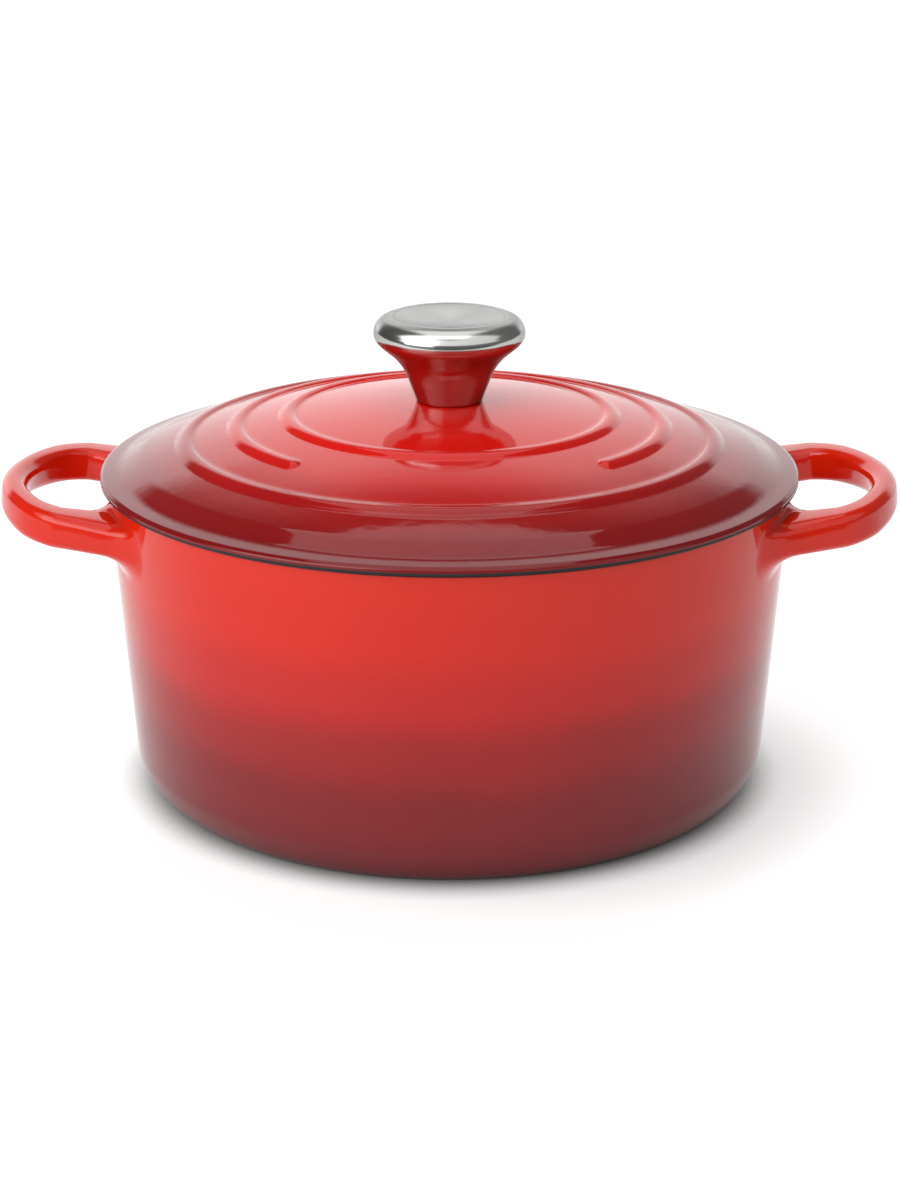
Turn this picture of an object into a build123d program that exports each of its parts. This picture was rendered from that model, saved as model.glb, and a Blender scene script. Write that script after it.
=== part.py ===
from build123d import *
import os
from math import cos, radians, sin, sqrt, tan

# Round cast-iron casserole with a lift-off lid and a steel knob. Millimetres, +Z up.
# The origin is the centre of the base where it stands; the two loop handles lie along X.

# --- Driving dimensions: the pot ---
RIM_RADIUS = 132.0  # outside of the pot at its rim
RIM_HEIGHT = 122.0  # from the table to the flat rim
WALL = 4.5  # side wall, square to its surface
FLOOR = 5.0  # thickness of the base
SIDE_LEAN = 4.23  # degrees that the side leans inward on the way down
BASE_BLEND = 20.2  # outside blend from side to base
BLEND_SINK = 2.6  # how far the base plane cuts into that blend
POT_INSIDE_BLEND = 18.0  # inside blend from side to floor
RIM_ROUND = 1.1  # rounding on both edges of the rim
FOOT_WIDTH = 9.0  # ring that the pot stands on
FOOT_RECESS = 0.8  # the base inside that ring is lifted by this

# --- Driving dimensions: the two loop handles ---
HANDLE_DROP = 11.4  # from the rim down to the middle of the loop where it leaves the side
HANDLE_TILT = 8.1  # degrees that the loop rises outward
HANDLE_REACH = 41.2  # from the side to the outer end of the loop
HANDLE_DEPTH = 13.4  # height of the bar
HANDLE_ROUND = 4.3  # rounding along the bar
BAR_ROUND_LIMIT = 0.49  # the rounding stays under this share of the bar's narrowest width
LEG_SPREAD = 53.0  # half width over both legs at the side
LEG_LEAN = 19.8  # degrees that the outside of a leg closes in
LOOP_END_RADIUS = 65.0  # outside arc at the outer end
LOOP_CORNER = 25.0  # blend from leg to outer end
END_BAR = 10.2  # width of the bar at the outer end
LEG_WIDTH = 15.0  # width of each leg at the side, beside the finger opening
GRIP_LEAN = 8.5  # degrees that the opening narrows outward
GRIP_END_EASE = 1.0  # the opening's outer arc has a larger radius than the loop's by this
GRIP_CORNER = 14.0  # corners of the opening
HANDLE_FILLET = 7.0  # casting fillet where the bar meets the side

# --- Driving dimensions: the lid ---
LIP_OVERHANG = 2.5  # the lid reaches past the rim by this
LIP_TOP_WIDTH = 6.2  # flat top of the lip
LIP_BEVEL_WIDTH = 3.2  # sloping edge outside the flat top
LIP_EDGE = 1.6  # upright edge under the bevel
LIP_RISE = 3.4  # corner between bevel and flat top, above the rim
LIP_SLOPE = 11.5  # degrees that the lip's top rises inward
SHOULDER_STEP = 2.8  # width of the curved step from lip to dome
SHOULDER_RISE = 6.9  # edge of the dome above the rim
DOME_RADIUS = 365.0  # sphere that the lid's top follows
LID_WALL = 4.2
RING_INSET = 20.0  # outermost ring, in from the dome's edge
RING_PITCH = 19.9
RING_WIDTH = 6.8  # foot to foot
RING_RISE = 1.4
RING_BLEND = 1.6  # hollow blend from a ring into the dome
RING_GAP = 85.0  # degrees left open at the front of the middle ring
SHOULDER_ROUND = 3.0
LIP_FOOT_ROUND = 1.6
LIP_CORNER_ROUND = 0.9
LIP_EDGE_ROUND = 1.4
LIP_SEAT_ROUND = 0.6
RIB_CLEARANCE = 1.2  # locating rib inside the pot's rim
RIB_WIDTH = 3.4
RIB_DEPTH = 5.0
LANDING_RADIUS = 14.0  # flat landing for the knob, above and below
LANDING_THICKNESS = 5.2
SCREW_HOLE_RADIUS = 3.5

# --- Driving dimensions: the knob ---
KNOB_RADIUS = 28.65
KNOB_HEIGHT = 33.0
KNOB_WAIST_HEIGHT = 27.0  # height of the widest point
KNOB_FOOT_RADIUS = 12.15
KNOB_SHEET = 1.2
STEM_HEIGHT = 12.6  # nearly straight part of the stem
STEM_TOP_RADIUS = 17.3
FLARE_RADIUS = 24.2  # middle of the flare
FLARE_HEIGHT = 20.2
DISH_RADIUS = 21.2  # opening in the rolled rim, closed by the dished cap
DISH_DEPTH = 1.9
CREST_RADIUS = 23.2  # top of the rolled rim
FIT = 0.15  # clearance between the knob's own pieces
LEDGE_WIDTH = 1.4  # the cap lies on this much of the ledge

# --- Driving dimensions: the screw ---
THREAD_RADIUS = 3.0
SCREW_LENGTH = 18.0
HEAD_RADIUS = 5.8
HEAD_HEIGHT = 3.4
RECESS_WIDTH = 1.3
WASHER_RADIUS = 8.0
WASHER_THICKNESS = 1.2
BUSH_RADIUS = 5.6
BUSH_HEIGHT = 15.5
BUSH_FLANGE = 2.6
BUSH_CHAMFER = 0.8
THREAD_DEPTH = 14.0

# --- Sizes that follow ---
lean = radians(SIDE_LEAN)
lid_radius = RIM_RADIUS + LIP_OVERHANG
dome_edge_radius = lid_radius - LIP_BEVEL_WIDTH - LIP_TOP_WIDTH - SHOULDER_STEP
dome_edge_height = RIM_HEIGHT + SHOULDER_RISE
dome_centre = dome_edge_height - sqrt(DOME_RADIUS**2 - dome_edge_radius**2)
rim_bore = RIM_RADIUS - WALL / cos(lean)
handle_height = RIM_HEIGHT - HANDLE_DROP


def side_radius(height):
    """Outside radius of the pot's side at a height."""
    return RIM_RADIUS - (RIM_HEIGHT - height) * tan(lean)


def dome_height(radius, thickness=0.0):
    """Height of the lid's dome, or of its underside, at a radius."""
    return dome_centre + sqrt((DOME_RADIUS - thickness) ** 2 - radius**2)


landing = dome_height(LANDING_RADIUS)
underside = landing - LANDING_THICKNESS

# --- Pot: one casting, vessel and both handles ---
blend_height = BASE_BLEND - BLEND_SINK
blend_radius = side_radius(blend_height) - BASE_BLEND / cos(lean)
foot_radius = blend_radius + sqrt(BASE_BLEND**2 - blend_height**2)
blend_start = (blend_radius + BASE_BLEND * cos(lean), blend_height - BASE_BLEND * sin(lean))

handle_plane = Plane(
    origin=(side_radius(handle_height), 0, handle_height),
    x_dir=(cos(radians(HANDLE_TILT)), 0, sin(radians(HANDLE_TILT))),
    z_dir=(-sin(radians(HANDLE_TILT)), 0, cos(radians(HANDLE_TILT))),
)


def loop_shape(half_width, closing, reach, end_radius, corner, root):
    """D shape: two legs that close in on the way out, and an arc across the outer end."""
    slope = tan(radians(closing))
    tip = half_width - slope * 2 * reach
    back = half_width + slope * root
    with BuildSketch() as shape:
        Polygon((-root, -back), (2 * reach, -tip), (2 * reach, tip), (-root, back), align=None)
        with Locations((reach - end_radius, 0)):
            Circle(end_radius, mode=Mode.INTERSECT)
        fillet(shape.vertices().filter_by(lambda v: v.X > 0 and abs(v.Y) > 1), corner)
    return shape.sketch


root_depth = HANDLE_REACH / 2
grip_reach = HANDLE_REACH - END_BAR
grip_end_radius = LOOP_END_RADIUS + GRIP_END_EASE
loop = loop_shape(LEG_SPREAD, LEG_LEAN, HANDLE_REACH, LOOP_END_RADIUS, LOOP_CORNER, root_depth)
grip = loop_shape(
    LEG_SPREAD - LEG_WIDTH, GRIP_LEAN, grip_reach, grip_end_radius, GRIP_CORNER, root_depth
)
outer_edges, inner_edges = (
    shape.edges().filter_by(lambda e: e.center().X > -root_depth / 2) for shape in (loop, grip)
)
narrowest_bar = min(outer.distance_to(inner) for outer in outer_edges for inner in inner_edges)
bar_round = min(HANDLE_ROUND, BAR_ROUND_LIMIT * narrowest_bar)

with BuildPart() as handle:
    with BuildSketch(handle_plane):
        add(loop)
        add(grip, mode=Mode.SUBTRACT)
    extrude(amount=HANDLE_DEPTH / 2, both=True)
    flat_faces = handle.faces().filter_by(lambda f: abs(f.normal_at().dot(handle_plane.z_dir)) > 0.99)
    along_bar = flat_faces.edges().filter_by(
        lambda e: handle_plane.to_local_coords(e.center()).X > HANDLE_ROUND - root_depth
    )
    fillet(along_bar, bar_round)

fillet_room = HANDLE_DEPTH + HANDLE_FILLET  # the side is carried past the rim while the bars are blended in
blank_top = RIM_HEIGHT + fillet_room
with BuildPart() as pot:
    with BuildSketch(Plane.XZ):
        with BuildLine():
            Polyline(
                (foot_radius, 0), (0, 0), (0, blank_top), (side_radius(blank_top), blank_top), blend_start
            )
            RadiusArc(blend_start, (foot_radius, 0), BASE_BLEND)
        make_face()
    revolve(axis=Axis.Z)
    with PolarLocations(0, 2):
        add(handle.part)
    fillet(pot.edges(Select.NEW), HANDLE_FILLET)
    with BuildSketch(Plane.XZ):
        with BuildLine():
            Polyline((RIM_RADIUS * 2, blank_top), (0, blank_top), (0, FLOOR))
            floor_edge = rim_bore - (RIM_HEIGHT - FLOOR) * tan(lean)
            Polyline((0, FLOOR), (floor_edge, FLOOR), (rim_bore, RIM_HEIGHT))
            Polyline((rim_bore, RIM_HEIGHT), (RIM_RADIUS * 2, RIM_HEIGHT), (RIM_RADIUS * 2, blank_top))
        make_face()
        inside_corner = vertices().sort_by(Axis.Y)[:2].sort_by(Axis.X)[-1]
        fillet(inside_corner, POT_INSIDE_BLEND)
    revolve(axis=Axis.Z, mode=Mode.SUBTRACT)
    with BuildSketch():
        Circle(foot_radius - FOOT_WIDTH)
    extrude(amount=FOOT_RECESS, mode=Mode.SUBTRACT)
    rim_edges = pot.faces().filter_by(Plane.XY).sort_by(Axis.Z)[-1].edges()
    fillet(rim_edges, RIM_ROUND)
pot.part.label = "pot"

# --- Lid: one casting. Dome with three raised rings, stepped lip, locating rib, knob landing ---
lip_corner = (lid_radius - LIP_BEVEL_WIDTH, RIM_HEIGHT + LIP_RISE)
lip_foot = (
    lip_corner[0] - LIP_TOP_WIDTH,
    lip_corner[1] + LIP_TOP_WIDTH * tan(radians(LIP_SLOPE)),
)
dome_edge = (dome_edge_radius, dome_edge_height)
edge_top = (lid_radius, RIM_HEIGHT + LIP_EDGE)
edge_foot = (lid_radius, RIM_HEIGHT)
rib_radius = rim_bore - RIB_CLEARANCE
rib_root = (rib_radius, RIM_HEIGHT)
rib_foot = (rib_radius, RIM_HEIGHT - RIB_DEPTH)
rib_inner_foot = (rib_radius - RIB_WIDTH, RIM_HEIGHT - RIB_DEPTH)
rib_inner_root = (rib_inner_foot[0], dome_height(rib_inner_foot[0], LID_WALL))
landing_edge = (LANDING_RADIUS, landing)
pad_root = (LANDING_RADIUS, dome_height(LANDING_RADIUS, LID_WALL))
pad_edge = (LANDING_RADIUS, underside)


def ring_points(radius):
    """Inner foot, crest and outer foot of a raised ring's section."""
    feet = [(r, dome_height(r)) for r in (radius - RING_WIDTH / 2, radius + RING_WIDTH / 2)]
    height = dome_height(radius) - dome_centre
    reach = 1 + RING_RISE / DOME_RADIUS
    return feet[0], (radius * reach, dome_centre + height * reach), feet[1]


outer_ring = dome_edge_radius - RING_INSET
middle_ring = outer_ring - RING_PITCH
inner_ring = middle_ring - RING_PITCH

inner_feet, middle_feet, outer_feet = (ring_points(r) for r in (inner_ring, middle_ring, outer_ring))

inner_foot, crest, outer_foot = middle_feet
ring_root = inner_foot[1] - LID_WALL / 2
with BuildSketch(Plane.XZ) as ring_outline:
    with BuildLine():
        ThreePointArc(inner_foot, crest, outer_foot)
        Polyline(outer_foot, (outer_foot[0], ring_root), (inner_foot[0], ring_root), inner_foot)
    make_face()
ring_section = ring_outline.sketch_local

with BuildPart() as lid:
    with BuildSketch(Plane.XZ) as lid_section:
        with BuildLine():
            Polyline((SCREW_HOLE_RADIUS, underside), (SCREW_HOLE_RADIUS, landing), landing_edge)
            RadiusArc(landing_edge, inner_feet[0], DOME_RADIUS)
            ThreePointArc(*inner_feet)
            RadiusArc(inner_feet[2], outer_feet[0], DOME_RADIUS)
            ThreePointArc(*outer_feet)
            RadiusArc(outer_feet[2], dome_edge, DOME_RADIUS)
            Polyline(dome_edge, lip_foot, lip_corner, edge_top, edge_foot, rib_root, rib_foot)
            Polyline(rib_foot, rib_inner_foot, rib_inner_root)
            RadiusArc(rib_inner_root, pad_root, LID_WALL - DOME_RADIUS)
            Polyline(pad_root, pad_edge, (SCREW_HOLE_RADIUS, underside))
        make_face()
        for point, rounding in (
            (dome_edge, SHOULDER_ROUND),
            (lip_foot, LIP_FOOT_ROUND),
            (lip_corner, LIP_CORNER_ROUND),
            (edge_top, LIP_EDGE_ROUND),
            (rib_foot, RIB_WIDTH / 3),
            (rib_inner_foot, RIB_WIDTH / 3),
            (rib_inner_root, RIB_WIDTH),
            (edge_foot, LIP_SEAT_ROUND),
            (inner_feet[0], RING_BLEND),
            (inner_feet[2], RING_BLEND),
            (outer_feet[0], RING_BLEND),
            (outer_feet[2], RING_BLEND),
        ):
            fillet(lid_section.vertices().sort_by_distance(point)[0], rounding)
    revolve(axis=Axis.Z)
    with BuildSketch(Plane.XZ.rotated((0, 0, RING_GAP / 2 - 90))):
        add(ring_section)
    revolve(axis=Axis.Z, revolution_arc=360 - RING_GAP)
lid.part.label = "lid"

# --- Knob: a trumpet-shaped steel shell, closed by a dished cap that lies on a ledge in its rim ---
dish_edge = KNOB_HEIGHT - KNOB_SHEET / 2
ledge_top = dish_edge - KNOB_SHEET
ledge_inside = DISH_RADIUS - LEDGE_WIDTH


def at(radius, height):
    """A point of the knob's section, with its height counted from the lid's landing."""
    return (radius, landing + height)


def flare(depth):
    """Stem and flare of the knob's skin, from the foot to the widest point, at a depth."""
    stem = Line(at(KNOB_FOOT_RADIUS - depth, 0), at(STEM_TOP_RADIUS - depth, STEM_HEIGHT))
    widest = at(KNOB_RADIUS - depth, KNOB_WAIST_HEIGHT)
    middle = at(FLARE_RADIUS - depth * sqrt(0.5), FLARE_HEIGHT + depth * sqrt(0.5))
    Spline(stem @ 1, middle, widest, tangents=[stem % 1, (0, 1)])
    return stem @ 0, widest


with BuildPart() as knob_body:
    with BuildSketch(Plane.XZ):
        with BuildLine():
            foot, widest = flare(0)
            Spline(widest, at(CREST_RADIUS, KNOB_HEIGHT), tangents=[(0, 1), (-1, 0)])
            inner_foot, inner_widest = flare(KNOB_SHEET)
            Polyline(
                at(CREST_RADIUS, KNOB_HEIGHT),
                at(DISH_RADIUS, dish_edge),
                at(DISH_RADIUS, ledge_top),
                at(ledge_inside, ledge_top),
                at(ledge_inside, ledge_top - KNOB_SHEET),
                at(KNOB_RADIUS - 2 * KNOB_SHEET, ledge_top - KNOB_SHEET),
                inner_widest,
            )
            Line(foot, inner_foot)
        make_face()
    revolve(axis=Axis.Z)
knob_body.part.label = "knob_body"

cap_radius = DISH_RADIUS - FIT
flat_edge = ledge_inside - FIT
with BuildPart() as knob_cap:
    with BuildSketch(Plane.XZ):
        with BuildLine():
            Polyline(at(cap_radius, dish_edge), at(cap_radius, ledge_top), at(flat_edge, ledge_top))
            Spline(
                at(flat_edge, ledge_top),
                at(0, ledge_top - DISH_DEPTH),
                tangents=[(-1, -0.3), (-1, 0)],
            )
            Line(at(0, ledge_top - DISH_DEPTH), at(0, dish_edge - DISH_DEPTH))
            Spline(
                at(0, dish_edge - DISH_DEPTH),
                at(cap_radius, dish_edge),
                tangents=[(1, 0), (1, 0.3)],
            )
        make_face()
    revolve(axis=Axis.Z)
knob_cap.part.label = "knob_cap"

# --- Bush: steel plug in the knob's foot, threaded for the screw from below ---
bush_foot = KNOB_FOOT_RADIUS - KNOB_SHEET - FIT
with BuildPart() as knob_bush:
    with BuildSketch(Plane.XY.offset(landing)):
        Circle(bush_foot)
    extrude(amount=BUSH_FLANGE)
    with BuildSketch(Plane.XY.offset(landing)):
        Circle(BUSH_RADIUS)
    extrude(amount=BUSH_HEIGHT)
    with BuildSketch(Plane.XY.offset(landing)):
        Circle(THREAD_RADIUS)
    extrude(amount=THREAD_DEPTH, mode=Mode.SUBTRACT)
    shoulder = knob_bush.edges().filter_by(GeomType.CIRCLE).group_by(Axis.Z)[-1]
    chamfer(shoulder, BUSH_CHAMFER)
knob_bush.part.label = "knob_bush"

# --- Washer and screw under the lid ---
washer_foot = underside - WASHER_THICKNESS
with BuildPart() as knob_washer:
    with BuildSketch(Plane.XY.offset(underside)):
        Circle(WASHER_RADIUS)
        Circle(SCREW_HOLE_RADIUS, mode=Mode.SUBTRACT)
    extrude(amount=-WASHER_THICKNESS)
    chamfer(knob_washer.edges().group_by(Axis.Z)[0], WASHER_THICKNESS / 4)
knob_washer.part.label = "knob_washer"

with BuildPart() as knob_screw:
    with BuildSketch(Plane.XY.offset(washer_foot)):
        Circle(HEAD_RADIUS)
    extrude(amount=-HEAD_HEIGHT)
    fillet(knob_screw.edges().group_by(Axis.Z)[0], HEAD_HEIGHT * 0.6)
    with BuildSketch(Plane.XY.offset(washer_foot)):
        Circle(THREAD_RADIUS - FIT)
    extrude(amount=SCREW_LENGTH)
    with BuildSketch(Plane.XY.offset(washer_foot - HEAD_HEIGHT)):
        Rectangle(HEAD_RADIUS, RECESS_WIDTH)
        Rectangle(RECESS_WIDTH, HEAD_RADIUS)
    extrude(amount=HEAD_HEIGHT * 0.6, mode=Mode.SUBTRACT)
knob_screw.part.label = "knob_screw"

os.makedirs("parts", exist_ok=True)
for piece in (pot, lid, knob_body, knob_cap, knob_bush, knob_washer, knob_screw):
    export_step(piece.part, f"parts/{piece.part.label}.step")
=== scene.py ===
from math import asin, atan2, ceil, cos, degrees, hypot, pi, radians, sin, sqrt, tan

import bmesh
import bpy
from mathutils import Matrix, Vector


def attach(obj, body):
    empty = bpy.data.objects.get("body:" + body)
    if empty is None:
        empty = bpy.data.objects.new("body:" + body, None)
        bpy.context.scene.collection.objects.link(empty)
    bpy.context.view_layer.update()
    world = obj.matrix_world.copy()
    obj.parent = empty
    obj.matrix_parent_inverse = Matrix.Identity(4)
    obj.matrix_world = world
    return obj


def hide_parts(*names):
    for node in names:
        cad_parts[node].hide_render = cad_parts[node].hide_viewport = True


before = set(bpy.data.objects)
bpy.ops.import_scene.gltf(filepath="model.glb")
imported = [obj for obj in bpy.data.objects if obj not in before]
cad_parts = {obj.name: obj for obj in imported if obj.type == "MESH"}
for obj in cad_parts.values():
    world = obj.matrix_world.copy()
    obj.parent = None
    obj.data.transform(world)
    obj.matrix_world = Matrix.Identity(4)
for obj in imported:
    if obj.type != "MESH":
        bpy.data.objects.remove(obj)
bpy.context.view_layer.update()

# --- Vessel ---
# One sand-cast iron casting with a wall of 4.5 mm that leans outward from a softly rounded base.
# Glazed red outside, shaded to burgundy at the base, pale inside, with a bare matt black rim.
MM = 0.001
RIM_RADIUS = 132.0
RIM_HEIGHT = 122.0
RIM_ROUND = 1.1
WALL = 4.5
SIDE_LEAN = radians(4.23)
RIM_BORE = RIM_RADIUS - WALL / cos(SIDE_LEAN)
FLOOR_HEIGHT = 5.0
FLOOR_BLEND = 18.0
BASE_BLEND = 20.2
BLEND_CENTRE = 17.6
BLEND_STEPS = 16
MID_SIDE = 60.0
BORE_LEAD = (1.0, 14.0)
FOOT_WIDTH = 9.0
FOOT_LIFT = 0.8
FOOT_ROUND = 0.3
TURN_STEPS = 288
ROUND = [2 * pi * step / TURN_STEPS for step in range(TURN_STEPS)]
ON_AXIS = 0.001


def side_radius(height):
    """Outside radius of the vessel's side at a height."""
    return RIM_RADIUS - (RIM_HEIGHT - height) * tan(SIDE_LEAN)


def rounded(corners, step=9.0, margin=0.3):
    """An outline through corners given as (radius, height, rounding), with the corners rounded."""
    outline = []
    for index, (r, z, rounding) in enumerate(corners):
        corner = Vector((r, z))
        if not rounding:
            outline.append(corner)
            continue
        before = (Vector(corners[index - 1][:2]) - corner).normalized()
        after = (Vector(corners[(index + 1) % len(corners)][:2]) - corner).normalized()
        half = before.angle(after) / 2
        reach = rounding / tan(half)
        centre = corner + (before + after).normalized() * rounding / sin(half)
        spoke = corner + before * reach - centre
        turn_by = (pi - 2 * half) * (-1 if before.cross(after) > 0 else 1)
        count = max(3, ceil(abs(degrees(turn_by)) / step))
        outline.append(corner + before * (reach + margin))
        for k in range(count + 1):
            a = turn_by * k / count
            across = spoke.x * cos(a) - spoke.y * sin(a)
            up = spoke.x * sin(a) + spoke.y * cos(a)
            outline.append(centre + Vector((across, up)))
        outline.append(corner + after * (reach + margin))
    return outline


def smooth_mesh(name, bm):
    """An object from a bmesh, shaded smooth, with its faces turned outward."""
    bmesh.ops.recalc_face_normals(bm, faces=bm.faces)
    mesh = bpy.data.meshes.new(name)
    bm.to_mesh(mesh)
    bm.free()
    mesh.shade_smooth()
    piece = bpy.data.objects.new(name, mesh)
    bpy.context.collection.objects.link(piece)
    return piece


def turned(name, outline, angles=ROUND, lift=None, inside=()):
    """A piece turned about the upright axis from an outline in millimetres.

    The runs of the outline numbered in inside take the piece's second material.
    """
    bm = bmesh.new()
    rings = []
    for r, z in outline:
        if r < ON_AXIS:
            rings.append([bm.verts.new((0, 0, z * MM))] * len(angles))
            continue
        rings.append([])
        for a in angles:
            height = z + (lift(r, z, a) if lift else 0)
            rings[-1].append(bm.verts.new((r * cos(a) * MM, r * sin(a) * MM, height * MM)))
    if outline[0][0] > ON_AXIS:
        rings.append(rings[0])
    for run, (lower, upper) in enumerate(zip(rings, rings[1:])):
        for i in range(len(angles)):
            corners = dict.fromkeys((lower[i - 1], lower[i], upper[i], upper[i - 1]))
            face = bm.faces.new(list(corners))
            face.material_index = int(run in inside)
    return smooth_mesh(name, bm)


def node(tree, kind, inputs=(), **settings):
    """A shader node with its settings, and with inputs given as values or as sockets."""
    made = tree.nodes.new("ShaderNode" + kind)
    for key, value in settings.items():
        setattr(made, key, value)
    for key, value in dict(inputs).items():
        if isinstance(value, bpy.types.NodeSocket):
            tree.links.new(value, made.inputs[key])
        else:
            made.inputs[key].default_value = value
    return made


def math(tree, operation, *values):
    return node(tree, "Math", dict(enumerate(values)), operation=operation).outputs[0]


def plus(tree, first, *others):
    """The sum of two or more values."""
    for other in others:
        first = math(tree, "ADD", first, other)
    return first


def times(tree, first, *others):
    """The product of two or more values."""
    for other in others:
        first = math(tree, "MULTIPLY", first, other)
    return first


def from_axis(tree, x, y):
    """Distance from the upright axis."""
    return math(tree, "SQRT", plus(tree, times(tree, x, x), times(tree, y, y)))


def object_place(tree):
    """Coordinates of the piece itself, in metres."""
    return node(tree, "TexCoord").outputs["Object"]


def split(tree, vector):
    return node(tree, "SeparateXYZ", {0: vector}).outputs


def fade(tree, value, start, end):
    """0 on the start's side, 1 on the end's side, smooth between."""
    inputs = {"Value": value, "From Min": min(start, end), "From Max": max(start, end)}
    inputs.update({"To Min": float(start > end), "To Max": float(start < end)})
    return node(tree, "MapRange", inputs, interpolation_type="SMOOTHSTEP").outputs[0]


def ramp(tree, value, stops):
    """Colour that runs through stops given as (position in metres, colour)."""
    low, high = stops[0][0], stops[-1][0]
    placed = node(tree, "MapRange", {"Value": value, "From Min": low, "From Max": high})
    made = node(tree, "ValToRGB", {"Fac": placed.outputs[0]})
    made.color_ramp.interpolation = "EASE"
    points = made.color_ramp.elements
    while len(points) < len(stops):
        points.new(0.5)
    for point, (position, colour) in zip(points, stops):
        point.position = (position - low) / (high - low)
        point.color = (*colour, 1)
    return made.outputs[0]


def blend(tree, mask, colour, other):
    inputs = {"Factor": mask, "A": colour, "B": other}
    return node(tree, "Mix", inputs, data_type="RGBA").outputs["Result"]


def noise(tree, vector, scale, detail):
    inputs = {"Vector": vector, "Scale": scale, "Detail": detail}
    return node(tree, "TexNoise", inputs).outputs[0]


def new_group(name, inputs, outputs):
    """An empty node group with named sockets for numbers."""
    group = bpy.data.node_groups.new(name, "ShaderNodeTree")
    for label in inputs:
        group.interface.new_socket(label, in_out="INPUT", socket_type="NodeSocketFloat")
    for label in outputs:
        group.interface.new_socket(label, in_out="OUTPUT", socket_type="NodeSocketFloat")
    return group


def put_out(group, values):
    """Join the values to the group's outputs of the same names."""
    last = group.nodes.new("NodeGroupOutput")
    for label, value in values.items():
        group.links.new(value, last.inputs[label])


WAVE_SCALE, FINE_SCALE, PIT_SCALE = 190.0, 750.0, 420.0
FINE_SHARE, PIT_SHARE = 0.18, 0.10
PIT_REACH = 0.10
DRIFT_SCALE, HAZE_SCALE = 22.0, 45.0


def enamel_skin():
    """Group: the fired glaze's soft ripple and fine pits, slow drift of tone, and wiped haze."""
    group = new_group("enamel_skin", ("Ripple", "Drift"), ("Height", "Tone", "Haze"))
    given = group.nodes.new("NodeGroupInput").outputs
    place = object_place(group)
    wave = noise(group, place, WAVE_SCALE, 1.0)
    fine = noise(group, place, FINE_SCALE, 2.0)
    cells = node(group, "TexVoronoi", {"Vector": place, "Scale": PIT_SCALE})
    pitted = fade(group, cells.outputs["Distance"], 0.0, PIT_REACH)
    rippled = times(group, plus(group, wave, times(group, fine, FINE_SHARE)), given["Ripple"])
    height = plus(group, rippled, times(group, pitted, PIT_SHARE))
    slow = noise(group, place, DRIFT_SCALE, 3.0)
    tone = times(group, math(group, "SUBTRACT", slow, 0.5), given["Drift"])
    haze = noise(group, place, HAZE_SCALE, 4.0)
    put_out(group, {"Height": height, "Tone": tone, "Haze": haze})
    return group


ENAMEL_SKIN = enamel_skin()
GLAZE_RIPPLE, GLAZE_DRIFT = 1.0, 0.012
GLAZE_ROUGHNESS, HAZE_ROUGHNESS, BARE_ROUGHNESS = 0.045, 0.03, 0.55
GLAZE_IOR = 1.4
GLAZE_BUMP, GLAZE_BUMP_DEPTH = 0.25, 0.00012
IRON_BLACK = (0.012, 0.011, 0.011, 1)
PALE_STOPS = ((0.0, (0.76, 0.68, 0.53)), (0.16, (0.80, 0.73, 0.58)))


def enamel(name, stops, along, bare_mask=None):
    """Glazed iron with its colour shaded along the radius or the height, and a bare matt part."""
    made = bpy.data.materials.new(name)
    made.use_nodes = True
    tree = made.node_tree
    surface = tree.nodes["Principled BSDF"]
    x, y, z = split(tree, object_place(tree))
    radius = from_axis(tree, x, y)
    values = {"Ripple": GLAZE_RIPPLE, "Drift": GLAZE_DRIFT}
    skin = node(tree, "Group", values, node_tree=ENAMEL_SKIN).outputs
    reach = plus(tree, radius if along == "radius" else z, skin["Tone"])
    colour = ramp(tree, reach, stops)
    rough = plus(tree, GLAZE_ROUGHNESS, times(tree, skin["Haze"], HAZE_ROUGHNESS))
    if bare_mask:
        bare = bare_mask(tree, radius, z)
        colour = blend(tree, bare, colour, IRON_BLACK)
        rough = plus(tree, rough, times(tree, bare, BARE_ROUGHNESS))
    tree.links.new(colour, surface.inputs["Base Color"])
    tree.links.new(rough, surface.inputs["Roughness"])
    surface.inputs["IOR"].default_value = GLAZE_IOR
    raised = {"Height": skin["Height"], "Strength": GLAZE_BUMP, "Distance": GLAZE_BUMP_DEPTH}
    tree.links.new(node(tree, "Bump", raised).outputs[0], surface.inputs["Normal"])
    return made


pale_enamel = enamel("pale_enamel", PALE_STOPS, "height")

POT_REDS = (
    (0.000, (0.120, 0.0040, 0.0060)),
    (0.030, (0.200, 0.0050, 0.0070)),
    (0.052, (0.320, 0.0070, 0.0080)),
    (0.074, (0.520, 0.0100, 0.0060)),
    (0.095, (0.640, 0.0140, 0.0030)),
    (0.125, (0.700, 0.0170, 0.0020)),
)
# Where the glaze stops at the rim, in metres: the heights and the radii that it fades between.
RIM_BARE_HEIGHTS = (0.1206, 0.1212)
RIM_BARE_RADII = (0.1340, 0.1332)


def pot_rim(tree, radius, z):
    """The rim's flat top and its rounded edges stay bare."""
    return times(tree, fade(tree, z, *RIM_BARE_HEIGHTS), fade(tree, radius, *RIM_BARE_RADII))


pot_enamel = enamel("pot_enamel", POT_REDS, "height", pot_rim)

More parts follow.
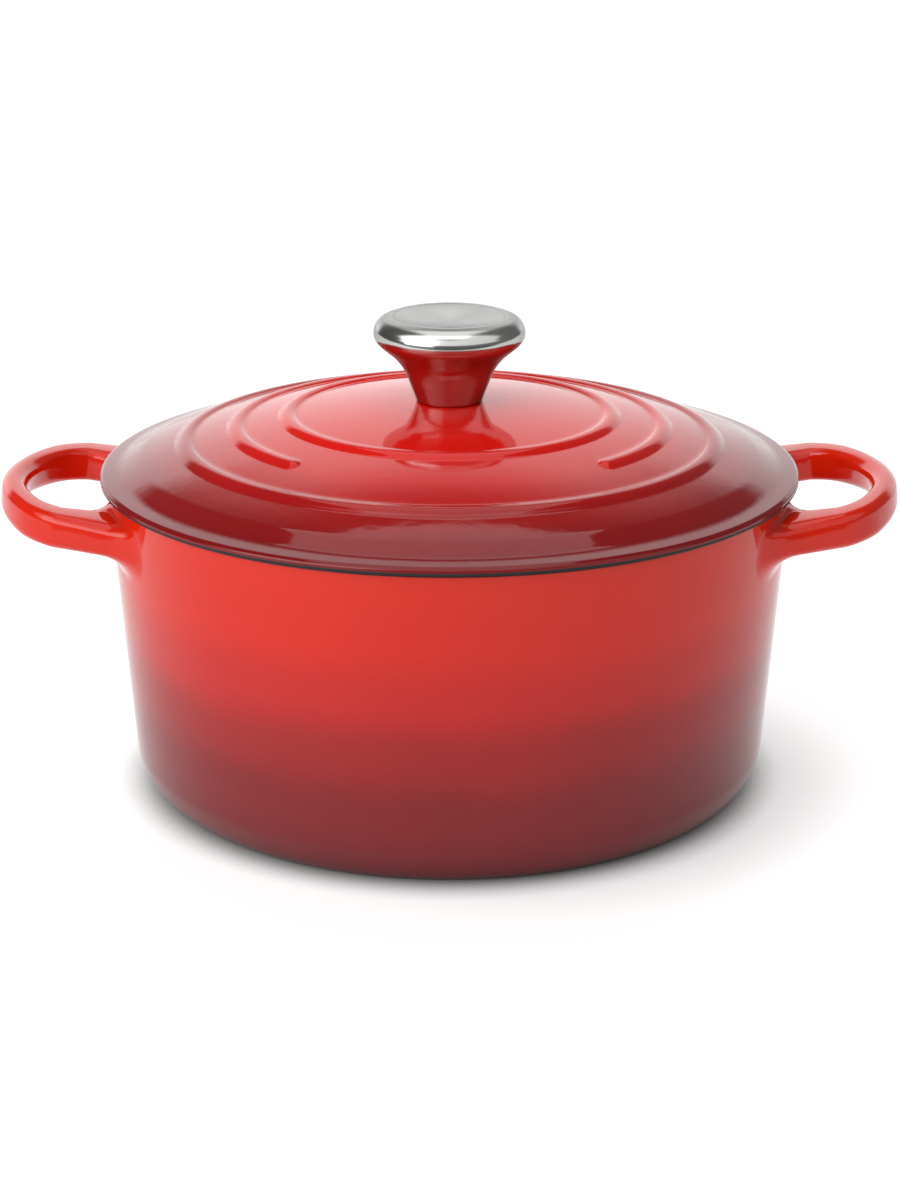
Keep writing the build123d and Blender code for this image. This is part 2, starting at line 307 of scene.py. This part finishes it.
arc_centre = side_radius(BLEND_CENTRE) - BASE_BLEND / cos(SIDE_LEAN)
foot_radius = arc_centre + sqrt(BASE_BLEND**2 - BLEND_CENTRE**2)
floor_edge = RIM_BORE - (RIM_HEIGHT - FLOOR_HEIGHT) * tan(SIDE_LEAN)
foot = (
    (0, FOOT_LIFT, 0),
    (foot_radius - FOOT_WIDTH, FOOT_LIFT, FOOT_ROUND),
    (foot_radius - FOOT_WIDTH, 0, FOOT_ROUND),
    (foot_radius, 0, 0),
)
outside = rounded(foot)
low_turn = -asin(BLEND_CENTRE / BASE_BLEND)
for k in range(1, BLEND_STEPS + 1):
    a = low_turn + (-SIDE_LEAN - low_turn) * k / BLEND_STEPS
    r, z = arc_centre + BASE_BLEND * cos(a), BLEND_CENTRE + BASE_BLEND * sin(a)
    outside.append(Vector((r, z)))
rim = (
    (side_radius(MID_SIDE), MID_SIDE, 0),
    (RIM_RADIUS, RIM_HEIGHT, RIM_ROUND),
    (RIM_BORE, RIM_HEIGHT, RIM_ROUND),
    (RIM_BORE - BORE_LEAD[0], RIM_HEIGHT - BORE_LEAD[1], 0),
)
outside += rounded(rim)[:-1]
hollow = ((RIM_BORE, RIM_HEIGHT, 0), (floor_edge, FLOOR_HEIGHT, FLOOR_BLEND), (0, FLOOR_HEIGHT, 0))
inside = rounded(hollow, step=5)[1:]
pale_runs = range(len(outside) - 1, len(outside) + len(inside))
vessel = turned("vessel", outside + inside, inside=pale_runs)
vessel.data.materials.append(pot_enamel)
vessel.data.materials.append(pale_enamel)
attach(vessel, "pot")

# --- Loop handles ---
# Two flat loops cast in one with the vessel, rising a little outward, with a soft fillet at the side.
# Each is a bar of rounded section that narrows from the legs to the outer end, glazed bright red.
HANDLE_HEIGHT = 110.6
HANDLE_TILT = radians(7.5)
BAR_HALF_DEPTH = 6.7
LEG_ROUND = 3.6
END_ROUND = 5.2
ROUND_LIMIT = 0.94
LEG_TURN = radians(65)
ROOT_TURN = radians(84)
HALF_ROWS = 48
SECTION_STEPS = 8
LEG_RUN = 14.0
CORNER_STEPS = 24
END_STEPS = 40
ROOT_FILLET = 10.0
TOP_FILLET = 3.6
ROOT_WEB = 16.0
ROOT_BENDS = (0, 10, 20, 30, 40, 50, 60, 69, 76, 82, 86, 88.5, 90)
# The last row is a skirt that runs on along the side, a hair below its surface.
SKIRT = 0.9
SINK = 0.004
SKIRT_SINK = 0.054
# How a leg's two edges head for the side: the mean of their slopes, and half of the difference.
LEG_SLOPE = 0.02
LEG_FAN = 0.238
PROBE = 0.5
SEARCH_STEPS = 6
# The point in the loop's opening that its rows fan out from, as a distance from the side.
EYE = 10.0


def loop_edge(half_width, closing, reach, end_radius, corner):
    """Half of a loop's edge in its own plane: straight leg, rounded corner, arc across the end."""
    slope = tan(closing)
    centre = reach - end_radius
    offset = half_width - corner / cos(closing)
    room = end_radius - corner
    a, b, c = 1 + slope**2, -2 * (centre + offset * slope), centre**2 + offset**2 - room**2
    x = (-b + sqrt(b * b - 4 * a * c)) / (2 * a)
    middle = Vector((x, offset - slope * x))
    points = [Vector((-LEG_RUN, half_width + LEG_RUN * slope))]
    start, end = pi / 2 - closing, atan2(middle.y, middle.x - centre)
    for k in range(CORNER_STEPS + 1):
        turn = start + (end - start) * k / CORNER_STEPS
        points.append(middle + Vector((cos(turn), sin(turn))) * corner)
    for k in range(1, END_STEPS + 1):
        turn = end * (1 - k / END_STEPS)
        points.append(Vector((centre + end_radius * cos(turn), end_radius * sin(turn))))
    return points


def reach_at(edge, turn):
    """Distance from the loop's eye to its edge in a direction."""
    polar = [(atan2(p.y, p.x - EYE), hypot(p.x - EYE, p.y)) for p in reversed(edge)]
    for (a, near), (b, far) in zip(polar, polar[1:]):
        if a <= turn <= b:
            return near + (far - near) * (turn - a) / (b - a)
    return polar[0][1] if turn < polar[0][0] else polar[-1][1]


# Outward directions round the bar's section, corner by corner: across the bar, and up.
FACING = []
for corner in range(4):
    for k in range(SECTION_STEPS + 1):
        a = radians(90 * corner + 90 * k / SECTION_STEPS)
        FACING.append((corner, cos(a), sin(a)))


def bar_section(half_width, wanted):
    """Points of the bar's section, across the bar and up, with its corners rounded."""
    rounding = min(wanted, ROUND_LIMIT * half_width)
    points = []
    for corner, across, up in FACING:
        side = (1, -1, -1, 1)[corner]
        top = (1, 1, -1, -1)[corner]
        centre = (side * (half_width - rounding), top * (BAR_HALF_DEPTH - rounding))
        points.append((centre[0] + rounding * across, centre[1] + rounding * up))
    return points


def in_handle_plane(x, y, up):
    """A point of the loop's tilted plane, in the pot's frame."""
    out = side_radius(HANDLE_HEIGHT) + x * cos(HANDLE_TILT) - up * sin(HANDLE_TILT)
    return Vector((out, y, HANDLE_HEIGHT + x * sin(HANDLE_TILT) + up * cos(HANDLE_TILT)))


def handle_way(x, y, up):
    """A direction of the loop's tilted plane, in the pot's frame."""
    return in_handle_plane(x, y, up) - in_handle_plane(0, 0, 0)


def off_side(p):
    """Distance of a point from the vessel's side, measured level."""
    return hypot(p.x, p.y) - side_radius(p.z)


def root_point(p, leg, across, up, bend, skirt):
    """A point of a leg's root, which leaves the bar at p and curves out along the vessel's side.

    The section faces across and up at p, bend is how far the curve has turned, and skirt is how
    far the point runs on along the side.
    """
    along = Vector((-1, leg * (LEG_SLOPE + LEG_FAN * across))).normalized()
    heading = handle_way(along.x, along.y, 0)
    outward = Vector((abs(along.y), leg * abs(along.x)))
    sideways = handle_way(outward.x * across, outward.y * across, 0)
    upward = handle_way(0, 0, up)
    radius = ROOT_FILLET + (TOP_FILLET - ROOT_FILLET) * max(0.0, up) ** 2
    radius += (ROOT_WEB - radius) * max(0.0, -across) ** 2
    rise = ROOT_FILLET + (TOP_FILLET - ROOT_FILLET) * max(0.0, up)
    away = radius * (1 - sin(bend))
    q = p.copy()
    for _ in range(SEARCH_STEPS):
        fall = (off_side(q + heading * PROBE) - off_side(q)) / PROBE
        q = q + heading * ((away - off_side(q)) / fall)
    q = q + sideways * (radius * (1 - cos(bend)) + skirt) + upward * (rise * (1 - cos(bend)) + skirt)
    sink = SINK + (SKIRT_SINK if skirt else 0.0)
    spread = (side_radius(q.z) + away - sink) / hypot(q.x, q.y)
    return Vector((q.x * spread, q.y * spread, q.z))


def root_rows(row, leg):
    """Rows that carry a leg from its last row to the vessel's side, and the skirt."""
    rows = []
    for degrees_bent, skirt in [(bend, 0.0) for bend in ROOT_BENDS] + [(ROOT_BENDS[-1], SKIRT)]:
        bend = radians(degrees_bent)
        rows.append([])
        for p, (_, across, up) in zip(row, FACING):
            rows[-1].append(root_point(p, leg, across, up, bend, skirt))
    return rows


outer_edge = loop_edge(
    half_width=57.2, closing=radians(14.5), reach=42.45, end_radius=74.2, corner=32.6
)
inner_edge = loop_edge(
    half_width=38.6, closing=radians(-12.3), reach=32.6, end_radius=61.6, corner=19.5
)


def loop_handle(name, side):
    """The loop on the side of x that side gives, with both of its roots."""
    bm = bmesh.new()
    rows = []
    for k in range(-HALF_ROWS, HALF_ROWS + 1):
        turn = ROOT_TURN * k / HALF_ROWS
        far, near = reach_at(outer_edge, abs(turn)), reach_at(inner_edge, abs(turn))
        middle, half_width = (far + near) / 2, (far - near) / 2
        at_leg = min(1.0, abs(turn) / LEG_TURN)
        rounding = END_ROUND + (LEG_ROUND - END_ROUND) * at_leg**2
        ray = Vector((cos(turn), sin(turn)))
        rows.append([])
        for across, up in bar_section(half_width, rounding):
            x, y = EYE + ray.x * (middle + across), ray.y * (middle + across)
            rows[-1].append(in_handle_plane(x, y, up))
    rows = list(reversed(root_rows(rows[0], -1))) + rows + root_rows(rows[-1], 1)
    grid = [[bm.verts.new((side * p.x * MM, p.y * MM, p.z * MM)) for p in row] for row in rows]
    for one, other in zip(grid, grid[1:]):
        for i in range(len(one)):
            bm.faces.new((one[i - 1], one[i], other[i], other[i - 1]))
    return smooth_mesh(name, bm)


for name, side in (("handle_right", 1), ("handle_left", -1)):
    handle = loop_handle(name, side)
    handle.data.materials.append(pot_enamel)
    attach(handle, "pot")
    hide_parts("pot")
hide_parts("pot")

# --- Lid ---
# One iron casting: a shallow dome with three raised rings, a soft step down to an almost flat lip,
# and a rib that centres it in the rim. The middle ring is left open at the front. Glazed red,
# shaded to burgundy at the lip, pale below, with a bare seat. It lies loose on the vessel.
DOME_RADIUS = 365.0
DOME_EDGE = 122.3
DOME_EDGE_HEIGHT = 128.9
DOME_STEP, RING_STEP = 1.6, 0.42
DOME_RUN_OUT = 4.0
SHOULDER = 119.3
SHOULDER_LEAD = 3.2
SHOULDER_ROUND = 20.0
LID_RADIUS = 134.5
LID_WALL = 4.2
UNDER_STEP = 4.0
LANDING_RADIUS = 14.0
LANDING_THICKNESS = 5.2
LANDING_ROUND = 0.3
HOLE_RADIUS = 3.5
HOLE_CHAMFER = 0.4
RINGS = (62.5, 82.4, 102.3)
RINGS_FROM, RINGS_TO = 50.0, 112.0
ON_DOME = 0.01
RING_HALF_WIDTH = 3.4
RING_RISE = 1.4
RING_BOW = (RING_HALF_WIDTH**2 + RING_RISE**2) / (2 * RING_RISE)
RING_REACH = 4.6
NEAR_RING = 5.0
RING_SOFTNESS = 0.05
RING_FADE = 8
RING_GAP = radians(89)
FRONT = radians(-90)
RIB_CLEARANCE = 1.2
RIB_DEPTH = 5.0
RIB_WIDTH = 3.4
RIB_ROUND = 1.1
SEAT_CORNER = 0.3
SHELL_LEAD, SHELL_FROM = 12.0, 14.0
# Corners of the lip, given as (radius, height, rounding).
STEP_FOOT = (127.5, 126.0, 12.0)
LIP_TOP = (133.2, 125.05, 1.1)
LIP_BREAK = (LID_RADIUS, 124.2, 0.9)
LIP_FOOT = (LID_RADIUS, RIM_HEIGHT, 0.6)
dome_centre = DOME_EDGE_HEIGHT - sqrt(DOME_RADIUS**2 - DOME_EDGE**2)


def dome_height(r, depth=0.0):
    """Height of the dome's surface, or of a shell at a depth under it, at a radius."""
    return dome_centre + sqrt((DOME_RADIUS - depth) ** 2 - r**2)


LANDING = dome_height(LANDING_RADIUS)


def ring_rise(r, z, a):
    """How far the raised rings stand above the dome at a point."""
    if abs(z - dome_height(r)) > ON_DOME or not RINGS_FROM <= r <= RINGS_TO:
        return 0.0
    rise = 0.0
    for ring in RINGS:
        off = abs(r - ring)
        if ring == RINGS[1]:
            from_front = abs((a - FRONT + pi) % (2 * pi) - pi)
            into_gap = RING_GAP / 2 - from_front
            if into_gap > 0:
                off = hypot(r - ring * cos(into_gap), ring * sin(into_gap))
        if off < RING_REACH:
            bow = sqrt(RING_BOW**2 - off**2) - RING_BOW + RING_RISE
            soft = 0.5 * (bow + sqrt(bow**2 + RING_SOFTNESS)) * (1 - (off / RING_REACH) ** RING_FADE)
            rise = max(rise, soft)
    return rise


underside = LANDING - LANDING_THICKNESS
rib_radius = RIM_BORE - RIB_CLEARANCE
lid_outline = [
    Vector((HOLE_RADIUS, underside)),
    Vector((HOLE_RADIUS, LANDING - HOLE_CHAMFER)),
    Vector((HOLE_RADIUS + HOLE_CHAMFER, LANDING)),
    Vector((LANDING_RADIUS, LANDING)),
]
r = LANDING_RADIUS
while r < SHOULDER - DOME_RUN_OUT:
    near_ring = min(abs(r - ring) for ring in RINGS) < NEAR_RING
    r += RING_STEP if near_ring else DOME_STEP
    lid_outline.append(Vector((r, dome_height(r))))
dome_end = SHOULDER - SHOULDER_LEAD
lip = (
    (dome_end, dome_height(dome_end), 0),
    (SHOULDER, dome_height(SHOULDER), SHOULDER_ROUND),
    STEP_FOOT,
    LIP_TOP,
    LIP_BREAK,
    LIP_FOOT,
    (rib_radius + 4, RIM_HEIGHT, 0),
)
lid_outline += rounded(lip)[1:]
under_from = len(lid_outline) - 1
rib_inside, rib_foot = rib_radius - RIB_WIDTH, RIM_HEIGHT - RIB_DEPTH
shell_lead = rib_radius - SHELL_LEAD
rib = (
    (rib_radius + 2, RIM_HEIGHT, 0),
    (rib_radius, RIM_HEIGHT, SEAT_CORNER),
    (rib_radius, rib_foot, RIB_ROUND),
    (rib_inside, rib_foot, RIB_ROUND),
    (rib_inside, dome_height(rib_inside, LID_WALL), RIB_WIDTH),
    (shell_lead, dome_height(shell_lead, LID_WALL), 0),
)
lid_outline += rounded(rib)
r = rib_radius - SHELL_FROM
while r > LANDING_RADIUS + 1:
    lid_outline.append(Vector((r, dome_height(r, LID_WALL))))
    r -= UNDER_STEP
landing_top = dome_height(LANDING_RADIUS, LID_WALL)
landing_below = (
    (LANDING_RADIUS + 1, landing_top, 0),
    (LANDING_RADIUS, landing_top, LANDING_ROUND),
    (LANDING_RADIUS, underside, LANDING_ROUND),
    (HOLE_RADIUS + 1, underside, 0),
)
lid_outline += rounded(landing_below)[1:]

LID_REDS = (
    (0.000, (0.830, 0.0085, 0.0030)),
    (0.060, (0.720, 0.0090, 0.0050)),
    (0.078, (0.660, 0.0088, 0.0055)),
    (0.094, (0.520, 0.0075, 0.0060)),
    (0.108, (0.350, 0.0062, 0.0065)),
    (0.121, (0.260, 0.0055, 0.0068)),
    (0.131, (0.205, 0.0045, 0.0062)),
)
# Where the glaze stops at the seat, in metres.
SEAT_BARE_HEIGHTS = (0.1234, 0.1229)
SEAT_BARE_RADII = (0.1240, 0.1246)


def lid_seat(tree, radius, z):
    """The seat and the foot of the lip's edge stay bare."""
    return times(tree, fade(tree, z, *SEAT_BARE_HEIGHTS), fade(tree, radius, *SEAT_BARE_RADII))


lid_enamel = enamel("lid_enamel", LID_REDS, "radius", lid_seat)
# Extra divisions round the ends of the middle ring, at its gap, a quarter of a degree apart.
GAP_STEPS = range(-14, 6)
GAP_STEP = 0.25
gap_turns = []
for side in (-1, 1):
    for k in GAP_STEPS:
        gap_turns.append(FRONT + side * (RING_GAP / 2 + radians(k * GAP_STEP)))
lid_turns = sorted({round(a % (2 * pi), 6) for a in ROUND + gap_turns})
under_runs = range(under_from, len(lid_outline))
lid = turned("lid_casting", lid_outline, lid_turns, ring_rise, under_runs)
lid.data.materials.append(lid_enamel)
lid.data.materials.append(pale_enamel)
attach(lid, "lid")
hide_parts("lid")

# --- Knob ---
# A hollow trumpet spun from thin stainless steel, rolled over at the top and mirror polished, with
# the crown of the roll a little satin. It stands on the lid's landing, where the screw holds it.
KNOB_CURVE = (
    (12.45, 0.0), (14.85, 6.2), (17.55, 12.6), (20.9, 17.15), (24.5, 20.3), (27.35, 22.8),
    (28.75, 24.9), (29.05, 27.1), (28.3, 29.8), (26.2, 32.0), (22.9, 33.3),
)
KNOB_ROLL = (
    (22.2, 33.27), (21.7, 33.15), (21.3, 33.03), (21.21, 33.0), (21.2, 32.97),
    (21.2, 31.2), (19.8, 31.2), (19.8, 30.0), (26.0, 30.0),
)
KNOB_INSIDE = ((27.3, 27.0), (23.2, 21.3), (16.1, 12.9), (10.95, 0.0))
KNOB_COLOUR = (0.56, 0.555, 0.54)
KNOB_ROUGHNESS, CROWN_SATIN = 0.10, 0.12
CROWN_HEIGHT = 30.5


def through(points, steps=6):
    """A smooth curve through points."""
    run = [Vector(p) for p in points]
    run = [2 * run[0] - run[1]] + run + [2 * run[-1] - run[-2]]
    curve = []
    for a, b, c, d in zip(run, run[1:], run[2:], run[3:]):
        for k in range(steps):
            t = k / steps
            square, cube = 2 * a - 5 * b + 4 * c - d, 3 * b - a - 3 * c + d
            curve.append(0.5 * (2 * b + (c - a) * t + square * t**2 + cube * t**3))
    return curve + [run[-2]]


def on_landing(points):
    """Points given as (radius, height above the lid's landing), in the dish's own heights."""
    return [Vector((r, LANDING + z)) for r, z in points]


LINE_SCALE, HANDLING_SCALE = 2600.0, 70.0
FINISH_SHARE = 0.4


def turned_finish():
    """Group: roughness that varies with the fine rings that turning leaves and with handling."""
    group = new_group("turned_finish", ("Rough",), ("Roughness", "Lines", "Haze"))
    rough = group.nodes.new("NodeGroupInput").outputs["Rough"]
    place = object_place(group)
    x, y, z = split(group, place)
    rings = node(group, "CombineXYZ", {"X": from_axis(group, x, y), "Y": z}).outputs[0]
    lines = noise(group, rings, LINE_SCALE, 2.0)
    haze = noise(group, place, HANDLING_SCALE, 4.0)
    share = times(group, rough, FINISH_SHARE)
    varied = plus(group, rough, times(group, haze, share), times(group, lines, share))
    put_out(group, {"Roughness": varied, "Lines": lines, "Haze": haze})
    return group


TURNED_FINISH = turned_finish()
STEEL_ANISOTROPY = 0.75
STEEL_TINT = (0.6, 0.6, 0.6, 1)
STEEL_BUMP, STEEL_BUMP_DEPTH = 0.2, 0.00002
HANDLED_SHADE = 0.94
SATIN_BELOW, SATIN_ABOVE = 0.0005, 0.0025


def steel(name, colour, rough, satin=0.0, satin_from=0.0):
    """Stainless steel with a turned finish, and satin above a height in metres."""
    made = bpy.data.materials.new(name)
    made.use_nodes = True
    tree = made.node_tree
    surface = tree.nodes["Principled BSDF"]
    surface.inputs["Metallic"].default_value = 1.0
    surface.inputs["Anisotropic"].default_value = STEEL_ANISOTROPY
    surface.inputs["Specular Tint"].default_value = STEEL_TINT
    around = node(tree, "Tangent", direction_type="RADIAL", axis="Z")
    tree.links.new(around.outputs[0], surface.inputs["Tangent"])
    finish = node(tree, "Group", {"Rough": rough}, node_tree=TURNED_FINISH).outputs
    varied = finish["Roughness"]
    if satin:
        height = split(tree, object_place(tree))["Z"]
        raised = fade(tree, height, satin_from - SATIN_BELOW, satin_from + SATIN_ABOVE)
        varied = plus(tree, varied, times(tree, raised, satin))
    tree.links.new(varied, surface.inputs["Roughness"])
    shade = (*(HANDLED_SHADE * c for c in colour), 1)
    tree.links.new(blend(tree, finish["Haze"], (*colour, 1), shade), surface.inputs["Base Color"])
    raised = {"Height": finish["Lines"], "Strength": STEEL_BUMP, "Distance": STEEL_BUMP_DEPTH}
    tree.links.new(node(tree, "Bump", raised).outputs[0], surface.inputs["Normal"])
    return made


crown = (LANDING + CROWN_HEIGHT) * MM
polished_steel = steel("polished_steel", KNOB_COLOUR, KNOB_ROUGHNESS, CROWN_SATIN, crown)
knob = turned("knob_shell", on_landing(through(KNOB_CURVE)) + on_landing(KNOB_ROLL + KNOB_INSIDE))
knob.data.materials.append(polished_steel)
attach(knob, "lid")
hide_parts("knob_body")

# --- Knob cap ---
# A dished disc pressed from steel sheet and finished satin. It sits just inside the knob's
# rolled rim and closes the hollow.
CAP_RADIUS = 21.1
CAP_MIDDLE = 30.6
CAP_DISH = 2.37
CAP_STEPS = 24
CAP_EDGE = ((21.17, 32.99), (21.185, 32.96), (21.185, 31.25))
CAP_BELOW = ((19.6, 31.2), (10.0, 29.8), (0.0, 29.4))
CAP_COLOUR = (0.60, 0.60, 0.59)
CAP_ROUGHNESS = 0.22
satin_steel = steel("satin_steel", CAP_COLOUR, CAP_ROUGHNESS)
cap_outline = []
for k in range(CAP_STEPS + 1):
    share = k / CAP_STEPS
    cap_outline.append(Vector((CAP_RADIUS * share, LANDING + CAP_MIDDLE + CAP_DISH * share**2)))
cap = turned("knob_dish", cap_outline + on_landing(CAP_EDGE + CAP_BELOW))
cap.data.materials.append(satin_steel)
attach(cap, "lid")
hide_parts("knob_cap")

# --- Bush, washer and screw ---
# Plain steel pieces with a turned finish: the bush plugs the knob's foot, the screw comes up
# through the lid into it and pulls the knob down, and the washer spreads the screw's pull.
FASTENER_COLOUR = (0.60, 0.59, 0.57)
FASTENER_ROUGHNESS = 0.28
plain_steel = steel("plain_steel", FASTENER_COLOUR, FASTENER_ROUGHNESS)
for name in ("knob_bush", "knob_washer", "knob_screw"):
    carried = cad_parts[name]
    carried.data.materials.clear()
    carried.data.materials.append(plain_steel)

# --- Studio ---
# A pale table whose white is a painted glow, with painted shadow under and round the dish and painted
# dark close to the viewer to darken reflections, a large softbox at the front left, one overhead, and
# a wash of light far behind. Round them stand a white backdrop, brighter at its left, and a wide dim
# glow in front. Its lengths are in metres.
TABLE_WEST, TABLE_EAST, TABLE_SOUTH, TABLE_NORTH = -4, 4, -3, 5
# The pale paint is a little cool, a painted tint that cancels the red light the pot bounces onto the
# table.
TABLE_PALE, TABLE_PAINTED_DARK = (0.35, 0.355, 0.355, 1), (0.04, 0.04, 0.04, 1)
TABLE_ROUGHNESS = 0.6
TABLE_GLOW = 0.75
# The table is painted dark nearer than the first of these places, a painted shade that darkens the
# lower wall's reflections, and is pale beyond the second.
TABLE_PALE_FROM = (-0.60, -0.44)
# Under the dish the glow fades out in a painted contact shadow, and round it a painted soft shadow
# leans to the right.
FOOT_SHADOW = (0.112, 0.134)
CAST_MIDDLE = (0.03, -0.01, 0)
CAST_RADII = (0.09, 0.145)
CAST_GLOW = 0.68
CAST_DEPTH = 0.32

table_corners = [
    (TABLE_WEST, TABLE_SOUTH, 0),
    (TABLE_EAST, TABLE_SOUTH, 0),
    (TABLE_EAST, TABLE_NORTH, 0),
    (TABLE_WEST, TABLE_NORTH, 0),
]
table_mesh = bpy.data.meshes.new("table")
table_mesh.from_pydata(table_corners, [], [(0, 1, 2, 3)])
table = bpy.data.objects.new("table", table_mesh)
bpy.context.collection.objects.link(table)
table_paint = bpy.data.materials.new("table_paint")
table_paint.use_nodes = True
floor_tree = table_paint.node_tree
paint = floor_tree.nodes["Principled BSDF"]
place = object_place(floor_tree)
ground = split(floor_tree, place)
east, north = ground["X"], ground["Y"]
# Painted shadow: the table's glow fades out under the dish and dims in a soft patch that leans right.
painted_contact_shadow = fade(floor_tree, from_axis(floor_tree, east, north), *FOOT_SHADOW)
ends = {0: place, 1: CAST_MIDDLE}
aside = node(floor_tree, "VectorMath", ends, operation="DISTANCE").outputs["Value"]
painted_shadow_lift = times(floor_tree, fade(floor_tree, aside, *CAST_RADII), CAST_DEPTH)
painted_cast_shadow = plus(floor_tree, CAST_GLOW, painted_shadow_lift)
# Painted shade: the near table is painted dark so that the lower wall's reflections stay dark.
beyond_painted_dark = fade(floor_tree, north, *TABLE_PALE_FROM)
glow = times(floor_tree, painted_contact_shadow, painted_cast_shadow, TABLE_GLOW, beyond_painted_dark)
floor_tree.links.new(glow, paint.inputs["Emission Strength"])
floor_tree.links.new(blend(floor_tree, beyond_painted_dark, TABLE_PAINTED_DARK, TABLE_PALE), paint.inputs["Base Color"])
paint.inputs["Roughness"].default_value = TABLE_ROUGHNESS
paint.inputs["Emission Color"].default_value = (1, 1, 1, 1)
table.data.materials.append(table_paint)


def softbox(name, place, aim, width, height, glow):
    """An oblong light at a place, turned to its aim, with a glow that doesn't change with its size."""
    light = bpy.data.lights.new(name, "AREA")
    light.shape = "RECTANGLE"
    light.size, light.size_y = width, height
    light.energy = glow * pi * width * height
    holder = bpy.data.objects.new(name, light)
    bpy.context.collection.objects.link(holder)
    holder.location = place
    holder.rotation_euler = (Vector(aim) - Vector(place)).to_track_quat("-Z", "Y").to_euler()
    return holder


softbox("overhead", (-0.03, 0.11, 1.5), (-0.03, 0.11, 0), width=1.05, height=1.72, glow=1.3)
softbox("key", (-1.25, -1.15, 0.85), (0, 0, 0.12), width=1.6, height=1.45, glow=2.65)
far_wash = softbox("far_wash", (0, 3.4, 2.2), (0, 3.4, 0), width=5.0, height=2.4, glow=0.9)
far_wash.visible_glossy = False

# The room is drawn by direction: side runs from left to right, depth from front to back.
ROOM_GLOW, ROOM_LEAN = 0.15, 0.05
SCREEN_GLOW, SCREEN_LEAN = 1.25, -0.3
SCREEN_SIDES, SCREEN_TOP = (1.06, 0.74), (0.76, 0.56)
SCREEN_TAPER, SCREEN_TAPER_HEIGHTS = 0.58, (0.15, 0.52)
SCREEN_DEPTHS = (0.0, 0.1)
FRONT_GLOW, FRONT_LEAN = 0.42, -0.3
FRONT_DEPTHS, FRONT_FOOT = (-0.10, -0.28), (0.08, 0.22)
WRAP, WRAP_HEIGHTS = 0.28, (0.30, 0.60)
DIP, DIP_SIDES, DIP_HEIGHTS = 0.3, (0.24, 0.08), (0.60, 0.74)
MIRRORED_GLOW, MIRRORED_LEFT, MIRRORED_SIDES = 0.70, 0.7, (-0.15, -0.50)

world = bpy.data.worlds.new("studio")
world.use_nodes = True
bpy.context.scene.world = world
sky = world.node_tree
backdrop = sky.nodes["Background"]
side, depth, height = split(sky, node(sky, "TexCoord").outputs["Generated"])
off_middle = math(sky, "ABSOLUTE", side)

# The white backdrop narrows toward its top.
aside = math(sky, "DIVIDE", off_middle, math(sky, "MAXIMUM", depth, 0.01))
taper = times(sky, fade(sky, height, *SCREEN_TAPER_HEIGHTS), SCREEN_TAPER)
narrowed = fade(sky, plus(sky, aside, taper), *SCREEN_SIDES)
behind = times(sky, narrowed, fade(sky, depth, *SCREEN_DEPTHS))
leaning = plus(sky, times(sky, side, SCREEN_LEAN), SCREEN_GLOW)
screen = times(sky, leaning, behind, fade(sky, height, *SCREEN_TOP))

# The front glow wraps round at the sides, dips above the middle, and shows brighter in
# reflections, most of all at the left.
wrapped = times(sky, off_middle, fade(sky, height, *WRAP_HEIGHTS), WRAP)
facing = fade(sky, math(sky, "SUBTRACT", depth, wrapped), *FRONT_DEPTHS)
facing = times(sky, facing, fade(sky, height, *FRONT_FOOT))
dip = times(sky, fade(sky, off_middle, *DIP_SIDES), fade(sky, height, *DIP_HEIGHTS), DIP)
facing = times(sky, facing, math(sky, "SUBTRACT", 1.0, dip))
from_left = times(sky, fade(sky, side, *MIRRORED_SIDES), MIRRORED_LEFT)
is_mirrored = node(sky, "LightPath").outputs["Is Glossy Ray"]
mirrored = times(sky, is_mirrored, plus(sky, from_left, MIRRORED_GLOW))
leaning = plus(sky, FRONT_GLOW, mirrored, times(sky, side, FRONT_LEAN))
front = times(sky, facing, leaning)

room = plus(sky, times(sky, side, ROOM_LEAN), ROOM_GLOW)
backdrop.inputs["Color"].default_value = (1, 1, 1, 1)
sky.links.new(plus(sky, screen, plus(sky, room, front)), backdrop.inputs["Strength"])

bpy.context.scene.view_settings.view_transform = "Standard"
camera_data = bpy.data.cameras.new("camera")
camera_data.sensor_width = 36
camera_data.lens = 80.25
camera_data.shift_x = 0.0005
camera_data.clip_start = 0.05
camera = bpy.data.objects.new("camera", camera_data)
bpy.context.collection.objects.link(camera)
camera.location = (0, -1.0, 0.4051)
camera.rotation_euler = (radians(71.4), 0, 0)
bpy.context.scene.camera = camera
